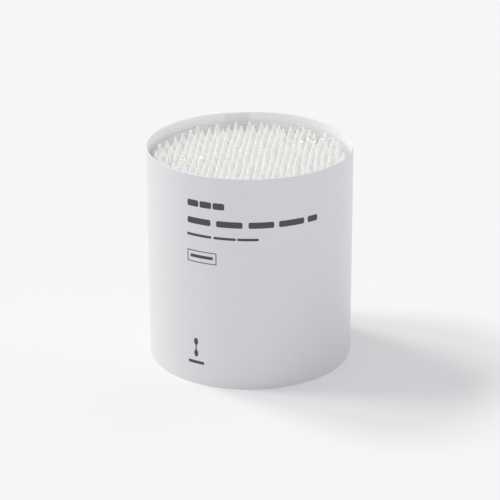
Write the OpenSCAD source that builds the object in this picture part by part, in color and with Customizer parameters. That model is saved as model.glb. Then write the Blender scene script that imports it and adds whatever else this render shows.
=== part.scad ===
// Refill pack of cotton swabs: a rolled paper sleeve, a clear film wrap sealed across
// both ends, and a bundle of double-ended swabs with pointed tips standing in the film.
// The origin is on the floor under the middle of the pack, and +Z is up.

/* [Swabs] */
// Number of swabs in the pack
swab_count = 200; // [120:1:240]
// Length of the shortest swab, from point to point
swab_len = 74; // [60:0.2:90]
// How much longer the longest swab is
len_scatter = 0.6; // [0:0.1:1]
// Diameter of the paper stick
stick_d = 2.3; // [1.8:0.1:2.6]

/* [Cotton tip] */
// Widest diameter of a tip
bud_d = 4.2; // [3.8:0.1:5]
// Length of a tip, from its point to where the stick leaves it
bud_len = 14; // [12:0.5:20]
// Distance from the point to the widest place
nose_len = 8.5; // [7:0.5:10]
// Radius of the rounded point
point_r = 0.4; // [0.3:0.05:0.6]
// Length of cotton beyond the end of the stick
point_cotton = 4.5; // [4:0.1:6]

/* [Bundle] */
// Room kept between neighbouring tips
tip_gap = 0.14; // [0.1:0.02:0.3]
// Share of the bundle's round section that the tips take up
pack_density = 0.77; // [0.7:0.01:0.78]
// Turn of the rows against the front of the pack, in degrees
row_turn = -5; // [-30:1:30]
// How far a swab may stray from its row
stray = 0.7; // [0:0.1:1]
// Number that picks one chance arrangement
chance = 7; // [1:1:99]

/* [Film wrap] */
// Thickness of the film
film_t = 0.1; // [0.05:0.01:0.2]
// Room between the swabs and the film
film_gap = 0.1; // [0.05:0.01:0.2]
// How deep the film sinks between the points
film_sag = 0.7; // [0.5:0.1:1.5]
// Radius of the film's rounded edge, top and bottom
film_edge_r = 1.5; // [1:0.1:2]
// Width of the trim seal across each end
seal_w = 0.4; // [0.3:0.1:1]
// Height of the trim seal above the highest points
seal_rise = 0.5; // [0.2:0.1:1]
// Height of the flattened trim seal under the pack
seal_foot = 0.3; // [0.1:0.1:0.5]
// Turn of the trim seals against the front of the pack, in degrees
seal_turn = 25; // [0:5:180]
// Distance of the trim seals from the middle of the pack
seal_off = 2; // [0:0.5:10]
// Distance from the ends of the trim seals to the film's rounded edge
seal_inset = 1; // [0.5:0.1:3]

/* [Paper sleeve] */
// Thickness of the paper
paper_t = 0.35; // [0.2:0.05:0.6]
// Room between the film and the glued lap inside the sleeve
sleeve_gap = 0.2; // [0.1:0.05:1]
// Height of the rim above the highest points
rim_rise = 2; // [1:0.1:6]
// Width of the glued lap
lap_w = 9; // [5:1:15]
// Length over which the sheet dips in to pass under the lap
dip_w = 4; // [3:0.5:6]
// Room under the film wrap
foot_gap = 0.5; // [0.5:0.1:2]

/* [Hidden] */
$fn = 96;
BANDS = 8;
band_ids = [1:BANDS];

// Radii, from the middle outwards
pitch = bud_d + tip_gap;
bundle_r = pitch / 2 * sqrt(swab_count / pack_density);
film_in_r = bundle_r + film_gap;
film_r = film_in_r + film_t;
lap_in_r = film_r + sleeve_gap;
sleeve_in_r = lap_in_r + paper_t;
sleeve_r = sleeve_in_r + paper_t;

// Heights, from the floor upwards
foot_z = foot_gap + film_t + film_gap;
low_point_z = foot_z + swab_len;
high_point_z = low_point_z + len_scatter;
sheet_z = low_point_z - film_sag;
sleeve_h = high_point_z + rim_rise;

// Where the swabs stand: even rows, strayed a little, then pushed apart until the
// tips are clear of each other and all of them stand inside the bundle
SETTLE_PASSES = 50;
ROW_SPREAD = 1.03;
row_step = pitch * ROW_SPREAD;
reach = ceil(sqrt(swab_count));
row_xy = [for (i = [-reach:reach], j = [-reach:reach])
    turned(row_step * [i + j / 2 + 0.3, (j + 0.2) * sin(60)], row_turn)];
middle_xy = first_of(sorted(row_xy), swab_count);
stray_x = rands(-stray, stray, swab_count, chance);
stray_y = rands(-stray, stray, swab_count, chance + 100);
start_xy = [for (i = [0:swab_count - 1]) middle_xy[i] + [stray_x[i], stray_y[i]]];
near_ids = [for (p = start_xy)
    [for (j = [0:swab_count - 1]) if (p != start_xy[j] && norm(p - start_xy[j]) < 2.4 * pitch) j]];
swab_xy = settled(start_xy, SETTLE_PASSES);

// Each swab's own length
swab_lens = [for (f = rands(0, 1, swab_count, chance + 200)) swab_len + f * len_scatter];

function turned(p, a) = [p.x * cos(a) - p.y * sin(a), p.x * sin(a) + p.y * cos(a)];
function first_of(list, n) = [for (i = [0:n - 1]) list[i]];

// Points in the order of their distance from the middle
function sorted(ps) = len(ps) < 2 ? ps :
    let (mid = norm(ps[floor(len(ps) / 2)]))
    concat(
        sorted([for (p = ps) if (norm(p) < mid) p]),
        [for (p = ps) if (norm(p) == mid) p],
        sorted([for (p = ps) if (norm(p) > mid) p])
    );

// The push on a point p from the others that are closer than one pitch
function total(v, i = 0) = i == len(v) ? [0, 0] : v[i] + total(v, i + 1);
function push(p, others) = total([for (q = others)
    let (d = norm(p - q)) if (d < pitch) (p - q) / d * (pitch - d) / 2]);
function held_in(p, r) = norm(p) > r ? p * r / norm(p) : p;
function settled(ps, passes) = passes == 0 ? ps : settled(
    [for (i = [0:len(ps) - 1])
        held_in(ps[i] + push(ps[i], [for (j = near_ids[i]) ps[j]]), bundle_r - pitch / 2)],
    passes - 1);

// Outline of a cotton tip: its radius at the distance s from the point
SHOULDER_POWER = 1.6;
function tip_radius(s) = s <= nose_len ? nose_radius(s) : shoulder_radius(s);
function nose_radius(s) =
    rounding(s) * bud_d / 2 * sin(90 * (s + point_r) / (nose_len + point_r));
function rounding(s) = s < 2 * point_r ? sqrt(1 - pow(1 - s / (2 * point_r), 2)) : 1;
function shoulder_radius(s) =
    let (share = (s - nose_len) / (bud_len - nose_len))
    stick_d / 2 + (bud_d - stick_d) / 2 * cos(90 * pow(share, SHOULDER_POWER));

// Distances from the point at which the outline is drawn
POINT_STEPS = [0.1, 0.4, 1, 2];
NOSE_STEPS = 6;
SHOULDER_STEPS = 4;
tip_stations = concat(
    [for (p = POINT_STEPS) point_r * p],
    [for (i = [1:NOSE_STEPS]) 2 * point_r + (nose_len - 2 * point_r) * i / NOSE_STEPS],
    [for (i = [1:SHOULDER_STEPS]) nose_len + (bud_len - nose_len) * i / SHOULDER_STEPS]
);

// A cotton tip with its point at the origin and a blind hole for the stick below it
module cotton_tip() {
    rotate_extrude() polygon(concat(
        [[0, 0]],
        [for (s = tip_stations) [tip_radius(s), -s]],
        [[stick_d / 2, -point_cotton], [0, -point_cotton]]
    ));
}

// Puts its child at the foot of each swab of one band, from the middle outwards
module each_swab(k) {
    for (i = [floor((k - 1) * swab_count / BANDS):floor(k * swab_count / BANDS) - 1]) {
        $this_len = swab_lens[i];
        translate([swab_xy[i].x, swab_xy[i].y, foot_z]) children();
    }
}

module sticks_band(k) {
    color("#f1efe9") each_swab(k) translate([0, 0, point_cotton])
        cylinder(d = stick_d, h = $this_len - 2 * point_cotton);
}

module upper_tips_band(k) {
    color("#fbfbfa") each_swab(k) translate([0, 0, $this_len]) cotton_tip();
}

module lower_tips_band(k) {
    color("#f6f6f5") each_swab(k) mirror([0, 0, 1]) cotton_tip();
}

// A round body with rounded edges from the height z0 up to z1
module round_bag(r, edge_r, z0, z1) {
    translate([0, 0, z0]) rotate_extrude() {
        square([r - edge_r, z1 - z0]);
        translate([0, edge_r]) square([r, z1 - z0 - 2 * edge_r]);
        for (z = [edge_r, z1 - z0 - edge_r]) translate([r - edge_r, z]) circle(edge_r);
    }
}

// The peaks that the film forms over the points: the inner face of the film, or its
// outer face where it is grown by the film's thickness
PEAK_TOP_R = 0.45;
PEAK_FLARE = 0.5;
module film_peaks(grow) {
    base_z = sheet_z - film_t - film_edge_r / 2;
    for (i = [0:swab_count - 1]) {
        h = foot_z + swab_lens[i] + film_gap + grow - base_z;
        top_r = PEAK_TOP_R + grow * (norm([1, PEAK_FLARE]) - PEAK_FLARE);
        translate([swab_xy[i].x, swab_xy[i].y, base_z])
            cylinder(r1 = top_r + h * PEAK_FLARE, r2 = top_r, h = h, $fn = 24);
    }
}

// A trim seal from the height z0 up to z1, which ends short of the bag's rounded edge
module trim_seal(z0, z1) {
    end_r = film_r - film_edge_r - seal_inset;
    seal_l = 2 * sqrt(end_r * end_r - seal_off * seal_off);
    rotate([0, 0, seal_turn]) translate([-seal_l / 2, seal_off - seal_w / 2, z0])
        cube([seal_l, seal_w, z1 - z0]);
}

module film_wrap() {
    color("#e6edf0", 0.35) difference() {
        union() {
            round_bag(film_r, film_edge_r, foot_gap, sheet_z);
            film_peaks(film_t);
            trim_seal(sheet_z - film_t / 2, high_point_z + seal_rise);
            trim_seal(foot_gap - seal_foot, foot_gap + film_t / 2);
        }
        round_bag(film_in_r, film_edge_r - film_t, foot_gap + film_t, sheet_z - film_t);
        film_peaks(0);
    }
}

// Part of one layer of the sheet, with its outer face at r, between two angles
module layer(r, a0, a1) {
    SECTOR_STEPS = 12;
    intersection() {
        difference() {
            circle(r);
            circle(r - paper_t);
        }
        polygon(concat([[0, 0]], [for (i = [0:SECTOR_STEPS])
            let (a = a0 + (a1 - a0) * i / SECTOR_STEPS) 2 * r * [cos(a), sin(a)]]));
    }
}

// Where the sheet dips in by its own thickness before it passes under its other end.
// It runs a little way into the layers at both ends, a hair thinner than they are.
module dip(a0, a1) {
    DIP_STEPS = 6;
    HAIR = 0.01;
    RUN_IN = 0.3;
    ins = [for (i = [0:DIP_STEPS]) paper_t * (1 - cos(180 * i / DIP_STEPS)) / 2];
    hairs = [for (i = [0:DIP_STEPS]) i == 0 || i == DIP_STEPS ? HAIR : 0];
    rays = [for (i = [0:DIP_STEPS])
        let (a = (a0 - RUN_IN) + (a1 - a0 + 2 * RUN_IN) * i / DIP_STEPS) [cos(a), sin(a)]];
    polygon(concat(
        [for (i = [0:DIP_STEPS]) (sleeve_r - ins[i] - hairs[i]) * rays[i]],
        [for (i = [DIP_STEPS:-1:0]) (sleeve_in_r - ins[i] + hairs[i]) * rays[i]]
    ));
}

// One sheet rolled to a tube, with its inner end glued under its outer end at the back
module paper_sleeve() {
    edge_a = 90;
    dip_a = dip_w / sleeve_r * 180 / PI;
    lap_a = lap_w / sleeve_r * 180 / PI;
    color("#e9e7ee") linear_extrude(sleeve_h) {
        layer(sleeve_r, edge_a, edge_a + 360 - dip_a);
        dip(edge_a - dip_a, edge_a);
        layer(sleeve_in_r, edge_a, edge_a + lap_a);
    }
}

paper_sleeve();
film_wrap();
for (k = band_ids) {
    sticks_band(k);
    upper_tips_band(k);
    lower_tips_band(k);
}
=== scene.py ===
"""Looks of a refill pack of cotton swabs: a rolled paper sleeve, clear film, cotton tips and paper sticks."""
import math

import bpy
import numpy as np
from mathutils import Matrix, Vector


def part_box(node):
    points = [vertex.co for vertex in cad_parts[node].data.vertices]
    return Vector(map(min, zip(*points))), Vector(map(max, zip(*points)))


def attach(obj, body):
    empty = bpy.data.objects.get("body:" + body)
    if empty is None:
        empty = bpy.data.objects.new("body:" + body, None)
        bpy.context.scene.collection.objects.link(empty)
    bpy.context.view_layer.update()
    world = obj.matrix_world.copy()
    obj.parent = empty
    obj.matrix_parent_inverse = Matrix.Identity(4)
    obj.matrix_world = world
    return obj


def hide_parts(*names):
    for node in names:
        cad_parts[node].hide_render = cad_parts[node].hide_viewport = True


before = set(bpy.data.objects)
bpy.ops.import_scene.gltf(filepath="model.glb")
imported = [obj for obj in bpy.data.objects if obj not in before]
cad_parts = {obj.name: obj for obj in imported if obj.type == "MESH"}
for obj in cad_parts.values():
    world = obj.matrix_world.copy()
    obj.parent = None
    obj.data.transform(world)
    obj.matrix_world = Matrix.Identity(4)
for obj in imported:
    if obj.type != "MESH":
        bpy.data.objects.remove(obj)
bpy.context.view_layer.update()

MM = 0.001
BANDS = range(1, 9)

# The sleeve's size comes from the frame
SLEEVE_LOW, SLEEVE_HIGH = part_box("paper_sleeve")
SLEEVE_R = (SLEEVE_HIGH.x - SLEEVE_LOW.x) / 2
SLEEVE_H = SLEEVE_HIGH.z
PAPER_T = 0.35 * MM
FILM_LOW, FILM_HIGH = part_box("film_wrap")
FILM_R = (FILM_HIGH.x - FILM_LOW.x) / 2

# A swab's cotton tip, as in the frame
TIP_R = 2.1 * MM
TIP_L = 14.0 * MM
NOSE_L = 8.5 * MM
STICK_R = 1.15 * MM
POINT_R = 0.4 * MM
POINT_COTTON = 4.5 * MM  # solid cotton over the stick's end
SHOULDER_POWER = 1.6  # the higher, the later the shoulder runs in to the stick

# The film's trim seal: its turn from the width and its place off the middle
SEAL_TURN = math.radians(25)
SEAL_OFF = 2.0 * MM

# The stage: the backdrop's pale grey as a linear value, the floor's tones, and the lamps
BACKDROP = 0.93
FLOOR_TONE = (0.86, 0.86, 0.86, 1.0)  # for the light it throws back
FLOOR_SEEN = (0.56, 0.56, 0.56, 1.0)  # for the shadow on it, as it is seen
FLOOR_LIFT = 0.24
FLOOR_HALF = 4  # metres
SKY_STRENGTH = 0.605
SKY_COLOUR = (0.985, 0.965, 1.04, 1.0)
KEY_STRENGTH = 1.12
KEY_SPREAD = 14
KEY_COLOUR = (0.985, 1.0, 0.94)
FILL_STRENGTH = 0.24
EDGE_STRENGTH = 0.3

# The camera fitted to the photo, its place in sleeve radii from the sleeve's middle
CAMERA_TILT = math.radians(22.08)
CAMERA_ROLL = math.radians(-0.17)
CAMERA_AWAY = 20.33
CAMERA_RIGHT = -0.0011
CAMERA_DOWN = 0.0288
LENS_MM = 148.6
SENSOR_MM = 36


# Small helpers

def srgb(hex_colour):
    """A linear RGBA colour from an sRGB hex value."""
    values = [int(hex_colour[i:i + 2], 16) / 255 for i in (1, 3, 5)]
    return (*[v / 12.92 if v <= 0.04045 else ((v + 0.055) / 1.055) ** 2.4 for v in values], 1.0)


def add_node(tree, kind, settings=None, links=None):
    """Adds a node, sets its properties or sockets by name, and links sockets to it."""
    node = tree.nodes.new(kind)
    for name, value in (settings or {}).items():
        if isinstance(name, int) or name in node.inputs:
            node.inputs[name].default_value = value
        else:
            setattr(node, name, value)
    for name, source in (links or {}).items():
        tree.links.new(source, node.inputs[name])
    return node


def new_material(name):
    """An empty node material and its output node."""
    material = bpy.data.materials.new(name)
    material.use_nodes = True
    material.node_tree.nodes.clear()
    return material, material.node_tree, material.node_tree.nodes.new("ShaderNodeOutputMaterial")


def object_places(tree, size):
    """Coordinates on the object in units of the given sizes in metres along X, Y and Z."""
    place = add_node(tree, "ShaderNodeTexCoord").outputs["Object"]
    scaled = add_node(tree, "ShaderNodeMapping", {"Scale": [1 / s for s in size]}, {"Vector": place})
    return scaled.outputs["Vector"]


def mesh_object(name, verts, faces, material, smooth_deg=40):
    """A mesh piece with smooth faces, whose edges stay sharp past the given angle."""
    mesh = bpy.data.meshes.new(name)
    mesh.from_pydata([tuple(v) for v in verts], [], [tuple(int(i) for i in f) for f in faces])
    mesh.validate()
    mesh.shade_smooth()
    mesh.set_sharp_from_angle(angle=math.radians(smooth_deg))
    mesh.materials.append(material)
    piece = bpy.data.objects.new(name, mesh)
    bpy.context.scene.collection.objects.link(piece)
    return piece


def grid_faces(rows, cols, closed=False, start=0):
    """Quads of a grid of rows by cols vertices, joined round the columns if it is closed."""
    last = cols if closed else cols - 1
    return [(start + r * cols + c, start + r * cols + (c + 1) % cols,
             start + (r + 1) * cols + (c + 1) % cols, start + (r + 1) * cols + c)
            for r in range(rows - 1) for c in range(last)]


# Materials

def coated_paper():
    """White coated paper, calendered smooth: a satin face with faint cloudy fibres under the coat, its tone set
    greyer than the real white sheet as painted shade of the pack's front.
    """
    material, tree, out = new_material("coated_paper")
    fibres = add_node(tree, "ShaderNodeTexNoise", {"Scale": 1.0, "Detail": 4.0},
                      {"Vector": object_places(tree, (1.6 * MM, 1.6 * MM, 1.6 * MM))})
    # Both tones are darker than the white sheet: painted shade of the front, with real fibre blotches between
    # them
    mottle_and_painted_shade = add_node(tree, "ShaderNodeMix", {"data_type": "RGBA", "A": srgb("#d5d4d6"), "B": srgb("#d9d8da")},
                      {"Factor": fibres.outputs["Fac"]})
    grain = add_node(tree, "ShaderNodeTexNoise", {"Scale": 1.0, "Detail": 2.0},
                     {"Vector": object_places(tree, (0.5 * MM, 0.5 * MM, 0.5 * MM))})
    bump = add_node(tree, "ShaderNodeBump", {"Strength": 0.12, "Distance": 0.02 * MM},
                    {"Height": grain.outputs["Fac"]})
    satin = add_node(tree, "ShaderNodeMapRange", {"To Min": 0.36, "To Max": 0.44},
                     {"Value": fibres.outputs["Fac"]})
    paper = add_node(tree, "ShaderNodeBsdfPrincipled", {"IOR": 1.5, "Coat Weight": 0.5, "Coat Roughness": 0.35},
                     {"Base Color": mottle_and_painted_shade.outputs["Result"], "Roughness": satin.outputs["Result"],
                      "Normal": bump.outputs["Normal"]})
    tree.links.new(paper.outputs["BSDF"], out.inputs["Surface"])
    return material


def plain_paper():
    """The uncoated back and the cut edge of the same sheet: whiter and matt, and light soaks through it."""
    material, tree, out = new_material("plain_paper")
    felt = add_node(tree, "ShaderNodeTexNoise", {"Scale": 1.0, "Detail": 3.0},
                    {"Vector": object_places(tree, (1.0 * MM, 1.0 * MM, 1.0 * MM))})
    tone = add_node(tree, "ShaderNodeMix", {"data_type": "RGBA", "A": srgb("#f3f3f3"), "B": srgb("#f9f9f9")},
                    {"Factor": felt.outputs["Fac"]})
    bump = add_node(tree, "ShaderNodeBump", {"Strength": 0.2, "Distance": 0.03 * MM},
                    {"Height": felt.outputs["Fac"]})
    paper = add_node(tree, "ShaderNodeBsdfPrincipled",
                     {"Roughness": 0.8, "Subsurface Weight": 0.35, "Subsurface Radius": (1.0, 1.0, 1.0),
                      "Subsurface Scale": 0.7 * MM},
                     {"Base Color": tone.outputs["Result"], "Normal": bump.outputs["Normal"]})
    tree.links.new(paper.outputs["BSDF"], out.inputs["Surface"])
    return material


def bleached_cotton():
    """Bleached cotton wool, wound and pressed: matt and soft, since light wanders between its fine fibres."""
    material, tree, out = new_material("bleached_cotton")
    fibres = add_node(tree, "ShaderNodeTexNoise", {"Scale": 1.0, "Detail": 3.0, "Distortion": 0.6},
                      {"Vector": object_places(tree, (0.5 * MM, 0.5 * MM, 2.5 * MM))})
    tone = add_node(tree, "ShaderNodeMix", {"data_type": "RGBA", "A": srgb("#ebebe7"), "B": srgb("#f2f2ee")},
                    {"Factor": fibres.outputs["Fac"]})
    bump = add_node(tree, "ShaderNodeBump", {"Strength": 0.35, "Distance": 0.12 * MM},
                    {"Height": fibres.outputs["Fac"]})
    cotton = add_node(tree, "ShaderNodeBsdfPrincipled",
                      {"Roughness": 0.95, "Specular IOR Level": 0.1,
                       "Subsurface Weight": 0.9, "Subsurface Radius": (1.0, 1.0, 0.95),
                       "Subsurface Scale": 2.5 * MM},
                      {"Base Color": tone.outputs["Result"], "Normal": bump.outputs["Normal"]})
    tree.links.new(cotton.outputs["BSDF"], out.inputs["Surface"])
    return material


def rolled_stick_paper():
    """Unglazed white paper rolled to a stick: matt, with a faint grain drawn out along its length."""
    material, tree, out = new_material("rolled_stick_paper")
    fibres = add_node(tree, "ShaderNodeTexNoise", {"Scale": 1.0, "Detail": 3.0},
                      {"Vector": object_places(tree, (0.6 * MM, 0.6 * MM, 4.0 * MM))})
    tone = add_node(tree, "ShaderNodeMix", {"data_type": "RGBA", "A": srgb("#e4e1da"), "B": srgb("#f2f0ea")},
                    {"Factor": fibres.outputs["Fac"]})
    bump = add_node(tree, "ShaderNodeBump", {"Strength": 0.3, "Distance": 0.05 * MM},
                    {"Height": fibres.outputs["Fac"]})
    paper = add_node(tree, "ShaderNodeBsdfPrincipled", {"Roughness": 0.8},
                     {"Base Color": tone.outputs["Result"], "Normal": bump.outputs["Normal"]})
    tree.links.new(paper.outputs["BSDF"], out.inputs["Surface"])
    return material


def shrink_film():
    """Clear polyolefin shrink film: a slight haze, more where it gathers at its rim, and glints on its folds."""
    material, tree, out = new_material("shrink_film")
    clear = add_node(tree, "ShaderNodeBsdfTransparent", {"Color": (0.99, 0.99, 0.99, 1.0)})
    ripple = add_node(tree, "ShaderNodeTexNoise", {"Scale": 1.0, "Detail": 2.0},
                      {"Vector": object_places(tree, (1.2 * MM, 1.2 * MM, 1.2 * MM))})
    bump = add_node(tree, "ShaderNodeBump", {"Strength": 0.3, "Distance": 0.1 * MM},
                    {"Height": ripple.outputs["Fac"]})
    gloss = add_node(tree, "ShaderNodeBsdfGlossy", {"Color": srgb("#ffffff"), "Roughness": 0.12},
                     {"Normal": bump.outputs["Normal"]})
    # A thin film mirrors the same from both sides: little face on, and nearly all at a glance
    glance = add_node(tree, "ShaderNodeLayerWeight", {"Blend": 0.5}, {"Normal": bump.outputs["Normal"]})
    steep = add_node(tree, "ShaderNodeMath", {"operation": "POWER", 1: 4.0}, {0: glance.outputs["Facing"]})
    mirror = add_node(tree, "ShaderNodeMapRange", {"To Min": 0.09, "To Max": 0.95},
                      {"Value": steep.outputs["Value"]})
    # Haze: the distance from the pack's axis, and a fine milky line along the trim seal
    place = object_places(tree, (1.0, 1.0, 1.0))
    flat_place = add_node(tree, "ShaderNodeVectorMath", {"operation": "MULTIPLY", 1: (1.0, 1.0, 0.0)},
                          {0: place})
    from_axis = add_node(tree, "ShaderNodeVectorMath", {"operation": "LENGTH"},
                         {0: flat_place.outputs["Vector"]})
    gathered = add_node(tree, "ShaderNodeMapRange",
                        {"From Min": 28 * MM, "From Max": 33 * MM, "To Min": 0.1, "To Max": 0.3},
                        {"Value": from_axis.outputs["Value"]})
    seal_side = (-math.sin(SEAL_TURN), math.cos(SEAL_TURN), 0)
    across = add_node(tree, "ShaderNodeVectorMath", {"operation": "DOT_PRODUCT", 1: seal_side}, {0: place})
    off = add_node(tree, "ShaderNodeMath", {"operation": "SUBTRACT", 1: SEAL_OFF},
                   {0: across.outputs["Value"]})
    away = add_node(tree, "ShaderNodeMath", {"operation": "ABSOLUTE"}, {0: off.outputs["Value"]})
    seal = add_node(tree, "ShaderNodeMapRange",
                    {"From Min": 0.15 * MM, "From Max": 0.5 * MM, "To Min": 0.35, "To Max": 0.0},
                    {"Value": away.outputs["Value"]})
    haze = add_node(tree, "ShaderNodeMath", {"operation": "MAXIMUM"},
                    {0: seal.outputs["Result"], 1: gathered.outputs["Result"]})
    above = add_node(tree, "ShaderNodeBsdfDiffuse", {"Color": srgb("#fafafa")})
    through = add_node(tree, "ShaderNodeBsdfTranslucent", {"Color": srgb("#fafafa")})
    milk = add_node(tree, "ShaderNodeMixShader", {0: 0.5},
                    {1: above.outputs["BSDF"], 2: through.outputs["BSDF"]})
    hazy = add_node(tree, "ShaderNodeMixShader", {},
                    {0: haze.outputs["Value"], 1: clear.outputs["BSDF"], 2: milk.outputs["Shader"]})
    film = add_node(tree, "ShaderNodeMixShader", {},
                    {0: mirror.outputs["Result"], 1: hazy.outputs["Shader"], 2: gloss.outputs["BSDF"]})
    tree.links.new(film.outputs["Shader"], out.inputs["Surface"])
    return material


def printing_ink():
    """Dark grey offset ink on the coated paper: a thin satin layer, a little uneven where it soaked in."""
    material, tree, out = new_material("printing_ink")
    soak = add_node(tree, "ShaderNodeTexNoise", {"Scale": 1.0, "Detail": 2.0},
                    {"Vector": object_places(tree, (0.8 * MM, 0.8 * MM, 0.8 * MM))})
    tone = add_node(tree, "ShaderNodeMix", {"data_type": "RGBA", "A": srgb("#3b3b41"), "B": srgb("#46464c")},
                    {"Factor": soak.outputs["Fac"]})
    ink = add_node(tree, "ShaderNodeBsdfPrincipled", {"Roughness": 0.5},
                   {"Base Color": tone.outputs["Result"]})
    tree.links.new(ink.outputs["BSDF"], out.inputs["Surface"])
    return material


def seen_rays(tree):
    """1 where the camera sees a surface, directly, in a gloss or through glass."""
    rays = add_node(tree, "ShaderNodeLightPath")
    seen = add_node(tree, "ShaderNodeMath", {"operation": "MAXIMUM"},
                    {0: rays.outputs["Is Camera Ray"], 1: rays.outputs["Is Glossy Ray"]})
    return add_node(tree, "ShaderNodeMath", {"operation": "MAXIMUM"},
                    {0: seen.outputs["Value"], 1: rays.outputs["Is Transmission Ray"]}).outputs["Value"]


def studio_floor():
    """Matt white studio floor: it throws back white light, and is seen as the pale backdrop with a shadow."""
    material, tree, out = new_material("studio_floor")
    matt = add_node(tree, "ShaderNodeBsdfDiffuse", {"Color": FLOOR_TONE})
    dimmed = add_node(tree, "ShaderNodeBsdfDiffuse", {"Color": FLOOR_SEEN})
    lift = add_node(tree, "ShaderNodeEmission", {"Color": (1.0, 1.0, 1.0, 1.0), "Strength": FLOOR_LIFT})
    pale = add_node(tree, "ShaderNodeAddShader", {}, {0: dimmed.outputs["BSDF"], 1: lift.outputs["Emission"]})
    shown = add_node(tree, "ShaderNodeMixShader", {},
                     {0: seen_rays(tree), 1: matt.outputs["BSDF"], 2: pale.outputs["Shader"]})
    tree.links.new(shown.outputs["Shader"], out.inputs["Surface"])
    return material


# Swabs

def swab_points(node):
    """The points of a band's upper tips, found from the highest mesh points of the node."""
    highest_first = sorted((v.co.copy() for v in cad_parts[node].data.vertices), key=lambda p: -p.z)
    points = []
    for p in highest_first:
        if all((p.xy - q.xy).length > TIP_R * 1.02 for q in points):
            points.append(p)
    return points


def tip_radius(s):
    """The radius of a cotton tip at the distance s below its point."""
    if s <= NOSE_L:
        rounding = math.sqrt(max(1 - (1 - s / (2 * POINT_R)) ** 2, 0)) if s < 2 * POINT_R else 1.0
        return rounding * TIP_R * math.sin(math.pi / 2 * (s + POINT_R) / (NOSE_L + POINT_R))
    share = (s - NOSE_L) / (TIP_L - NOSE_L)
    return STICK_R + (TIP_R - STICK_R) * math.cos(math.pi / 2 * share ** SHOULDER_POWER)


# How far a wound tip strays from the plain form: shares of its radius, and its point's bend
TIP_WOUND = 0.02
TIP_SOFT = 0.018
TIP_FIBRE = 0.008
TIP_MEAN = 0.975
TIP_BEND = 0.18 * MM
TIP_SIDES = 20
TIP_STATIONS = [0.02, 0.08, 0.2, 0.4, 0.65, 1.0, 1.5, 2.0, 2.6, 3.2, 3.9, 4.6, 5.4, 6.2, 7.0, 7.8, 8.6, 9.4,
                10.2, 11.0, 11.8, 12.5, 13.1, 13.6, 14.0]  # millimetres below the point


def wound_tip(point, rng):
    """Vertices and faces of one cotton tip: wound ridges, soft lumps and a slightly bent point."""
    angles = np.arange(TIP_SIDES) * 2 * math.pi / TIP_SIDES
    bend = rng.normal(0, TIP_BEND, 2)
    ridges, lumps = rng.integers(2, 5), rng.uniform(0, 2 * math.pi, 4)
    twist = rng.uniform(0.25, 0.5) * rng.choice([-1, 1])
    rings = []
    for station in TIP_STATIONS:
        s = station * MM
        near_point = (1 - min(s / NOSE_L, 1.0)) ** 2
        wound = TIP_WOUND * np.sin(ridges * angles + twist * station + lumps[0])
        soft = TIP_SOFT * np.sin(angles + lumps[1] + 0.9 * station) * math.sin(0.8 * station + lumps[2])
        fibre = rng.normal(0, TIP_FIBRE, TIP_SIDES)
        radius = tip_radius(s) * (TIP_MEAN + wound + soft + fibre)
        rings.append(np.stack([point.x + bend[0] * near_point + radius * np.cos(angles),
                               point.y + bend[1] * near_point + radius * np.sin(angles),
                               np.full(TIP_SIDES, point.z - s)], axis=1))
    for depth in (TIP_L, POINT_COTTON):
        rings.append(np.stack([point.x + STICK_R * np.cos(angles), point.y + STICK_R * np.sin(angles),
                               np.full(TIP_SIDES, point.z - depth)], axis=1))
    top = [[point.x + bend[0], point.y + bend[1], point.z]]
    socket = [[point.x, point.y, point.z - POINT_COTTON]]
    verts = np.concatenate([top, *rings, socket])
    last = 1 + (len(rings) - 1) * TIP_SIDES
    faces = [(0, 1 + i, 1 + (i + 1) % TIP_SIDES) for i in range(TIP_SIDES)]
    faces += [f[::-1] for f in grid_faces(len(rings), TIP_SIDES, closed=True, start=1)]
    faces += [(last + (i + 1) % TIP_SIDES, last + i, len(verts) - 1) for i in range(TIP_SIDES)]
    return verts, faces


def join_parts(parts):
    """One list of vertices and one of faces from several."""
    verts, faces, count = [], [], 0
    for part_verts, part_faces in parts:
        verts.append(part_verts)
        faces += [tuple(i + count for i in f) for f in part_faces]
        count += len(part_verts)
    return np.concatenate(verts), faces


FIBRES_PER_TIP = 8
FIBRE_T = 0.022 * MM
TIP_SEED = 100
FIBRE_SEED = 31


def loose_fibre(root, out_dir, rng):
    """A fine cotton fibre that stands off a tip: a closed three-sided spike that droops."""
    length, droop = rng.uniform(0.5, 1.3) * MM, rng.uniform(-0.2, 0.5)
    side = out_dir.cross(Vector((0, 0, 1))).normalized()
    other = out_dir.cross(side)
    verts = []
    for share in (0.0, 0.35, 0.7):
        middle = root + out_dir * length * share + Vector((0, 0, -1)) * length * droop * share ** 2
        for k in range(3):
            a = 2 * math.pi * k / 3
            verts.append(middle + (side * math.cos(a) + other * math.sin(a)) * FIBRE_T * (1 - share))
    verts.append(root + out_dir * length + Vector((0, 0, -1)) * length * droop)
    faces = [(0, 2, 1), *grid_faces(3, 3, closed=True)]
    faces += [(6 + k, 6 + (k + 1) % 3, 9) for k in range(3)]
    return np.array([tuple(v) for v in verts]), faces


def fibres_of(point, rng):
    """Loose fibres round the nose of one tip."""
    parts = []
    for _ in range(FIBRES_PER_TIP):
        s = rng.uniform(0.2, 5.5) * MM
        a = rng.uniform(0, 2 * math.pi)
        flat = Vector((math.cos(a), math.sin(a), 0))
        root = Vector((point.x, point.y, point.z - s)) + flat * (tip_radius(s) * 0.93)
        out_dir = (flat + Vector((-flat.y, flat.x, 0)) * rng.uniform(-1.5, 1.5)
                   + Vector((0, 0, rng.uniform(-0.2, 1.2)))).normalized()
        parts.append(loose_fibre(root, out_dir, rng))
    return parts


def make_upper_tips(material, points):
    """The upper cotton tips, band by band, in place of the plain ones."""
    for k in BANDS:
        rng = np.random.default_rng(TIP_SEED + k)
        verts, faces = join_parts([wound_tip(p, rng) for p in points[k]])
        tips = mesh_object(f"cotton_tips_{k}", verts, faces, material, smooth_deg=60)
        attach(tips, "root")
        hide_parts(f"upper_tips_band_{k}")


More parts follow.
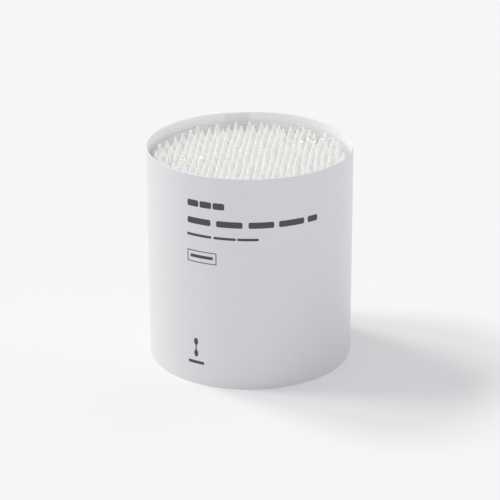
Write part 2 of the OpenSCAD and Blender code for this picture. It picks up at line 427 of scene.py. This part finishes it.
def make_loose_fibres(material, points):
    """Fine fibres that stand off the cotton."""
    rng = np.random.default_rng(FIBRE_SEED)
    parts = [part for k in BANDS for p in points[k] for part in fibres_of(p, rng)]
    verts, faces = join_parts(parts)
    fibres = mesh_object("loose_fibres", verts, faces, material)
    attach(fibres, "root")


# Film wrap

FILM_EDGE_R = 1.5 * MM
FILM_SIDES = 384
FILM_SLACK = 0.14 * MM  # how far the side stands in from the widest round
FILM_OVER_TIP = 0.08 * MM
GRID_STEP = 0.5 * MM
DRAPE_ROUNDS = 900
DRAPE_SAG = 0.004 * MM  # added in each round
PUCKER_H = 0.13 * MM
RIDGE_H = 0.15 * MM


def draped_heights(points):
    """Heights of the film over the points on a square grid: a stretched skin that rests on the tips."""
    half = int(FILM_R / GRID_STEP) + 2
    axis = np.arange(-half, half + 1) * GRID_STEP
    gx, gy = np.meshgrid(axis, axis, indexing="ij")
    radius = np.hypot(gx, gy)
    rest = np.full(gx.shape, min(p.z for p in points) - 3 * MM)
    nose_s = np.linspace(0, NOSE_L, 60)
    nose_r = np.array([tip_radius(s) for s in nose_s])
    for p in points:
        d = np.hypot(gx - p.x, gy - p.y)
        near = d < TIP_R
        rest[near] = np.maximum(rest[near], p.z + FILM_OVER_TIP - np.interp(d[near], nose_r, nose_s))
    edge = radius > FILM_R - FILM_EDGE_R * 0.6
    edge_z = np.mean([p.z for p in points]) - 0.9 * MM
    heights = np.where(edge, edge_z, rest.max())
    for _ in range(DRAPE_ROUNDS):
        around = (np.roll(heights, 1, 0) + np.roll(heights, -1, 0)
                  + np.roll(heights, 1, 1) + np.roll(heights, -1, 1)) / 4
        heights = np.where(edge, edge_z, np.maximum(rest, around - DRAPE_SAG))
    return axis, heights


def seal_distance(x, y):
    """Distances of a place across and along the trim seal."""
    across = -x * math.sin(SEAL_TURN) + y * math.cos(SEAL_TURN) - SEAL_OFF
    along = x * math.cos(SEAL_TURN) + y * math.sin(SEAL_TURN)
    return across, along


def film_height(x, y, axis, heights):
    """The film's height at a place: the drape, with puckers where the trim seal draws it together."""
    u, v = (x - axis[0]) / GRID_STEP, (y - axis[0]) / GRID_STEP
    i = np.clip(u.astype(int), 0, len(axis) - 2)
    j = np.clip(v.astype(int), 0, len(axis) - 2)
    fu, fv = u - i, v - j
    flat = (heights[i, j] * (1 - fu) * (1 - fv) + heights[i + 1, j] * fu * (1 - fv)
            + heights[i, j + 1] * (1 - fu) * fv + heights[i + 1, j + 1] * fu * fv)
    across, along = seal_distance(x, y)
    a = along / MM
    pucker = np.sin(2.1 * a + 1.3 * np.sin(0.7 * a)) + 0.5 * np.sin(4.7 * a + 2.0)
    ends = np.exp(-((np.abs(a) - 25) / 5) ** 2)
    reach = np.exp(-(across / ((2.2 + 1.5 * ends) * MM)) ** 2) * (1 + 3.5 * ends)
    ridge = RIDGE_H * np.exp(-(across / (0.6 * MM)) ** 2)
    fade = np.clip((FILM_R - np.hypot(x, y)) / (5 * MM), 0, 1)
    return flat + fade * (reach * pucker * PUCKER_H + ridge)


def make_film(material, points):
    """The closed film bag: the draped top, rounded edges, the side and a flat foot."""
    every = [p for k in BANDS for p in points[k]]
    axis, heights = draped_heights(every)
    angles = np.arange(FILM_SIDES) * 2 * math.pi / FILM_SIDES
    flat_r = FILM_R - FILM_EDGE_R
    top_radii = np.linspace(0.4 * MM, flat_r, 96)
    rings = []
    for r in top_radii:
        x, y = r * np.cos(angles), r * np.sin(angles)
        rings.append(np.stack([x, y, film_height(x, y, axis, heights)], axis=1))
    top_edge = rings[-1][:, 2]
    edge_z = top_edge.mean()
    wave = 0.08 * MM * np.sin(9 * angles) + 0.06 * MM * np.sin(23 * angles + 1)
    for turn in (20, 45, 70, 90):
        t = math.radians(turn)
        r = flat_r + FILM_EDGE_R * math.sin(t) + (wave - FILM_SLACK) * math.sin(t)
        share = turn / 90
        z = top_edge * (1 - share) + edge_z * share - FILM_EDGE_R * (1 - math.cos(t))
        rings.append(np.stack([r * np.cos(angles), r * np.sin(angles), z], axis=1))
    foot_z = FILM_LOW.z + 0.3 * MM
    for z in np.linspace(edge_z - FILM_EDGE_R - 4 * MM, foot_z + FILM_EDGE_R, 12):
        side_wave = wave * np.cos(z / MM * 0.4)
        r = FILM_R - FILM_SLACK + side_wave
        rings.append(np.stack([r * np.cos(angles), r * np.sin(angles), np.full(FILM_SIDES, z)], axis=1))
    for turn in (30, 60, 90):
        t = math.radians(turn)
        r = FILM_R - FILM_SLACK - FILM_EDGE_R * (1 - math.cos(t)) + wave * math.cos(t)
        z = foot_z + FILM_EDGE_R * (1 - math.sin(t))
        rings.append(np.stack([r * np.cos(angles), r * np.sin(angles), np.full(FILM_SIDES, z)], axis=1))
    for r in np.linspace(flat_r - 0.3 * MM, 0.4 * MM, 30):
        x, y = r * np.cos(angles), r * np.sin(angles)
        across, along = seal_distance(x, y)
        seal = -0.25 * MM * np.exp(-(across / (0.4 * MM)) ** 2)
        pucker = 0.06 * MM * np.sin(2.3 * along / MM) * np.exp(-(across / (3 * MM)) ** 2)
        rings.append(np.stack([x, y, foot_z + seal + pucker], axis=1))
    centre_top = [[0, 0, rings[0][:, 2].mean()]]
    centre_foot = [[0, 0, rings[-1][:, 2].mean()]]
    verts = np.concatenate([centre_top, *rings, centre_foot])
    faces = [(0, 1 + i, 1 + (i + 1) % FILM_SIDES) for i in range(FILM_SIDES)]
    faces += [f[::-1] for f in grid_faces(len(rings), FILM_SIDES, closed=True, start=1)]
    last = 1 + (len(rings) - 1) * FILM_SIDES
    faces += [(last + (i + 1) % FILM_SIDES, last + i, len(verts) - 1) for i in range(FILM_SIDES)]
    film = mesh_object("film_bag", verts, faces, material, smooth_deg=80)
    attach(film, "root")
    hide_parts("film_wrap")


# Paper sleeve

LAP_W = 9.0 * MM
DIP_W = 4.0 * MM  # the way over which the sheet goes in under its outer edge
EDGE_TURN = math.radians(90)  # the outer edge stands at the back


def make_sleeve(face_paper, back_paper):
    """The rolled sheet as one strip: round the pack, in by its own thickness, and on under its outer end."""
    dip, lap = DIP_W / SLEEVE_R, LAP_W / SLEEVE_R
    full = 2 * math.pi
    turns = np.concatenate([np.linspace(0, full - dip, 300), np.linspace(full - dip, full, 14)[1:],
                            np.linspace(full, full + lap, 10)[1:]])
    share = np.clip((turns - (full - dip)) / dip, 0, 1)
    outer = SLEEVE_R - (PAPER_T + 0.01 * MM) * (1 - np.cos(math.pi * share)) / 2
    angles = EDGE_TURN + turns
    lip = 0.06 * MM  # the softened edge
    heights = np.concatenate([[0, lip], np.linspace(2 * MM, SLEEVE_H - 2 * MM, 26),
                              [SLEEVE_H - lip, SLEEVE_H]])

    def row_at(r, z):
        """The sheet's places along its turns at the height z, with the slight unevenness of its round."""
        r = r + sleeve_bow(angles, z)
        return np.stack([r * np.cos(angles), r * np.sin(angles), np.full(len(angles), z)], axis=1)

    rows = []
    for z in heights:
        inset = lip if z in (0, SLEEVE_H) else 0.0
        rows.append(row_at(outer - inset, z))
    for z in heights[::-1]:
        inset = lip if z in (0, SLEEVE_H) else 0.0
        rows.append(row_at(outer - PAPER_T + inset, z))
    count, cols = len(rows), len(turns)
    verts = np.concatenate(rows)
    faces = [(r * cols + c, r * cols + c + 1, ((r + 1) % count) * cols + c + 1, ((r + 1) % count) * cols + c)
             for r in range(count) for c in range(cols - 1)]
    half = count // 2
    for r in range(half - 1):
        mirror = count - 1 - r
        faces.append((r * cols, (r + 1) * cols, (mirror - 1) * cols, mirror * cols))
        c = cols - 1
        faces.append((mirror * cols + c, (mirror - 1) * cols + c, (r + 1) * cols + c, r * cols + c))
    sleeve = mesh_object("rolled_sleeve", verts, faces, face_paper, smooth_deg=35)
    sleeve.data.materials.append(back_paper)
    for polygon in sleeve.data.polygons:
        # The face paper covers the outside and the rim, the plain paper the inside and the foot's edge. The
        # rim's cut edge takes the darker face paper as painted shade, since it faces up into the lamps
        polygon.material_index = 0 if 1 <= polygon.vertices[0] // cols <= half else 1
    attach(sleeve, "root")
    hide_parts("paper_sleeve")


# Print: plain bars in the place of words, and a plain swab sign

INK_T = 0.03 * MM


def sleeve_bow(angle, z):
    """How far the round of the sleeve is uneven at an angle and a height: very slight and slow."""
    return 0.09 * MM * np.sin(2 * angle + 0.6) + 0.05 * MM * np.sin(3 * angle + 9 * z)


def sleeve_place(u, v, lift):
    """A place on the sleeve: an arc length right of its front's middle and a height, in millimetres."""
    angle = u * MM / SLEEVE_R - math.pi / 2
    r = SLEEVE_R + sleeve_bow(angle, v * MM) + lift
    return (r * math.cos(angle), r * math.sin(angle), v * MM)


def printed_strip(edge_a, edge_b, closed=False):
    """A thin printed field between two edges of as many places each: edge_a is above or outside edge_b."""
    verts = []
    for a, b in zip(edge_a, edge_b):
        verts += [sleeve_place(*b, INK_T), sleeve_place(*a, INK_T), sleeve_place(*a, -INK_T),
                  sleeve_place(*b, -INK_T)]
    faces = [f[::-1] for f in grid_faces(len(edge_a), 4, closed=True)]
    last = 4 * (len(edge_a) - 1)
    if closed:
        faces += [(i, (i + 1) % 4, last + (i + 1) % 4, last + i) for i in range(4)]
    else:
        faces += [(0, 1, 2, 3), (last + 3, last + 2, last + 1, last)]
    return np.array(verts), faces


def printed_bar(u0, u1, v0, v1, r):
    """A printed bar with ends of the radius r."""
    ends = [r - r * math.cos(math.radians(a)) for a in (10, 30, 50, 70, 90)]
    steps = max(2, int(u1 - u0))
    across = [u0 + e for e in ends] + list(np.linspace(u0 + r, u1 - r, steps + 1)[1:-1])
    across += [u1 - e for e in ends[::-1]]
    drop = [r - math.sqrt(max(r * r - max(u0 + r - u, u - u1 + r, 0) ** 2, 0)) for u in across]
    return printed_strip([(u, v1 - d) for u, d in zip(across, drop)],
                         [(u, v0 + d) for u, d in zip(across, drop)])


def printed_oval(u, v, half_w, half_h):
    """A printed filled oval."""
    turns = [math.radians(a) for a in range(173, 0, -11)]
    return printed_strip([(u + half_w * math.cos(a), v + half_h * math.sin(a)) for a in turns],
                         [(u + half_w * math.cos(a), v - half_h * math.sin(a)) for a in turns])


def printed_frame(u0, u1, v0, v1, line):
    """A printed rectangle outline of the given line width."""
    outer = [(u, v1) for u in np.linspace(u0, u1, 12)] + [(u, v0) for u in np.linspace(u1, u0, 12)]
    inner = [(u, v1 - line) for u in np.linspace(u0 + line, u1 - line, 12)]
    inner += [(u, v0 + line) for u in np.linspace(u1 - line, u0 + line, 12)]
    return printed_strip(outer, inner, closed=True)


def make_print(material):
    """Plain bars where the words stand, a framed bar, and a plain sign of a swab, in millimetres."""
    parts = []
    # Three lines of words: their foot, top and corner radius, and where each bar begins and ends
    for v0, v1, r, spans in (
            (66.0, 68.3, 0.6, ((-22.4, -18.1), (-17.6, -13.3), (-12.8, -8.7))),
            (59.8, 62.0, 0.6, ((-22.5, -13.6), (-11.6, -2.5), (-0.5, 8.2), (9.9, 19.2), (20.6, 24.7))),
            (55.3, 56.2, 0.3, ((-22.7, -13.4), (-12.6, -4.8), (-4.3, 2.9)))):
        parts += [printed_bar(u0, u1, v0, v1, r) for u0, u1 in spans]
    # The frame and the bar in it
    parts.append(printed_frame(-22.7, -11.6, 45.8, 50.1, 0.3))
    parts.append(printed_bar(-21.5, -12.9, 47.5, 48.6, 0.35))
    # The sign: an upright swab with two buds, and a short bar under it
    parts += [printed_oval(-19.7, v, 0.8, 1.35) for v in (16.05, 11.65)]
    parts.append(printed_bar(-19.93, -19.47, 12.9, 14.8, 0.1))
    parts.append(printed_bar(-22.9, -16.6, 7.7, 8.8, 0.35))
    verts, faces = join_parts(parts)
    marks = mesh_object("printed_marks", verts, faces, material)
    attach(marks, "root")


# Stage: floor, lights and camera

def make_floor(material):
    """A wide floor under the pack."""
    corners = [(x * FLOOR_HALF, y * FLOOR_HALF, 0) for x, y in ((-1, -1), (1, -1), (1, 1), (-1, 1))]
    floor = mesh_object("studio_floor", corners, [(0, 1, 2, 3)], material)


def make_world():
    """A faintly violet sky light, and the pale backdrop for what the camera sees directly or in a gloss."""
    world = bpy.data.worlds.new("studio")
    bpy.context.scene.world = world
    world.use_nodes = True
    tree = world.node_tree
    tree.nodes.clear()
    out = tree.nodes.new("ShaderNodeOutputWorld")
    sky = add_node(tree, "ShaderNodeBackground", {"Color": SKY_COLOUR, "Strength": SKY_STRENGTH})
    pale = add_node(tree, "ShaderNodeBackground", {"Color": (1.0, 1.0, 1.0, 1.0), "Strength": BACKDROP})
    shown = add_node(tree, "ShaderNodeMixShader", {},
                     {0: seen_rays(tree), 1: sky.outputs["Background"], 2: pale.outputs["Background"]})
    tree.links.new(shown.outputs["Shader"], out.inputs["Surface"])


def make_sun(name, azimuth, elevation, strength, spread, colour=(1.0, 1.0, 1.0)):
    """A soft sun from an azimuth, in degrees from the front toward the left, and an elevation."""
    a, e = math.radians(azimuth), math.radians(elevation)
    toward = Vector((-math.sin(a) * math.cos(e), -math.cos(a) * math.cos(e), math.sin(e)))
    lamp = bpy.data.lights.new(name, "SUN")
    lamp.energy, lamp.angle, lamp.color = strength, math.radians(spread), colour
    sun = bpy.data.objects.new(name, lamp)
    sun.rotation_euler = toward.to_track_quat("Z", "Y").to_euler()
    bpy.context.scene.collection.objects.link(sun)


def make_camera():
    """The camera at the photograph's view: 22 degrees above the level, from the front, with a slight roll."""
    back = Vector((0, -math.cos(CAMERA_TILT), math.sin(CAMERA_TILT)))
    right, up = Vector((1, 0, 0)), Vector((0, math.sin(CAMERA_TILT), math.cos(CAMERA_TILT)))
    across = right * math.cos(CAMERA_ROLL) + up * math.sin(CAMERA_ROLL)
    upward = up * math.cos(CAMERA_ROLL) - right * math.sin(CAMERA_ROLL)
    place = (Vector((0, 0, SLEEVE_H / 2)) + back * CAMERA_AWAY * SLEEVE_R
             + across * CAMERA_RIGHT * SLEEVE_R - upward * CAMERA_DOWN * SLEEVE_R)
    lens = bpy.data.cameras.new("camera")
    lens.sensor_width, lens.lens = SENSOR_MM, LENS_MM
    lens.clip_start, lens.clip_end = 0.05, 20
    camera = bpy.data.objects.new("camera", lens)
    turn = Matrix((across, upward, back)).transposed()
    camera.matrix_world = Matrix.Translation(place) @ turn.to_4x4()
    bpy.context.scene.collection.objects.link(camera)
    bpy.context.scene.camera = camera


def dress_node(node, material):
    """Gives a CAD node that keeps its shape its material."""
    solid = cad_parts[node]
    for slot in solid.material_slots:
        slot.material = material
    if not solid.material_slots:
        solid.data.materials.append(material)


# Everything in its order

cotton = bleached_cotton()
film_material = shrink_film()
points = {k: swab_points(f"upper_tips_band_{k}") for k in BANDS}
sleeve_paper = coated_paper()
make_sleeve(sleeve_paper, plain_paper())
make_upper_tips(cotton, points)
make_loose_fibres(cotton, points)
make_film(film_material, points)
make_print(printing_ink())
stick_paper = rolled_stick_paper()
for k in BANDS:
    dress_node(f"sticks_band_{k}", stick_paper)
    dress_node(f"lower_tips_band_{k}", cotton)
    dress_node(f"upper_tips_band_{k}", cotton)
dress_node("paper_sleeve", sleeve_paper)
dress_node("film_wrap", film_material)

bpy.context.scene.view_settings.view_transform = "Standard"
make_floor(studio_floor())
make_world()
make_sun("key_side", 101, 50, KEY_STRENGTH, KEY_SPREAD, KEY_COLOUR)
make_sun("key_back", 127, 50, KEY_STRENGTH, KEY_SPREAD, KEY_COLOUR)
make_sun("fill", -25, 30, FILL_STRENGTH, 60)
make_sun("edge", -130, 35, EDGE_STRENGTH, 70)
make_camera()
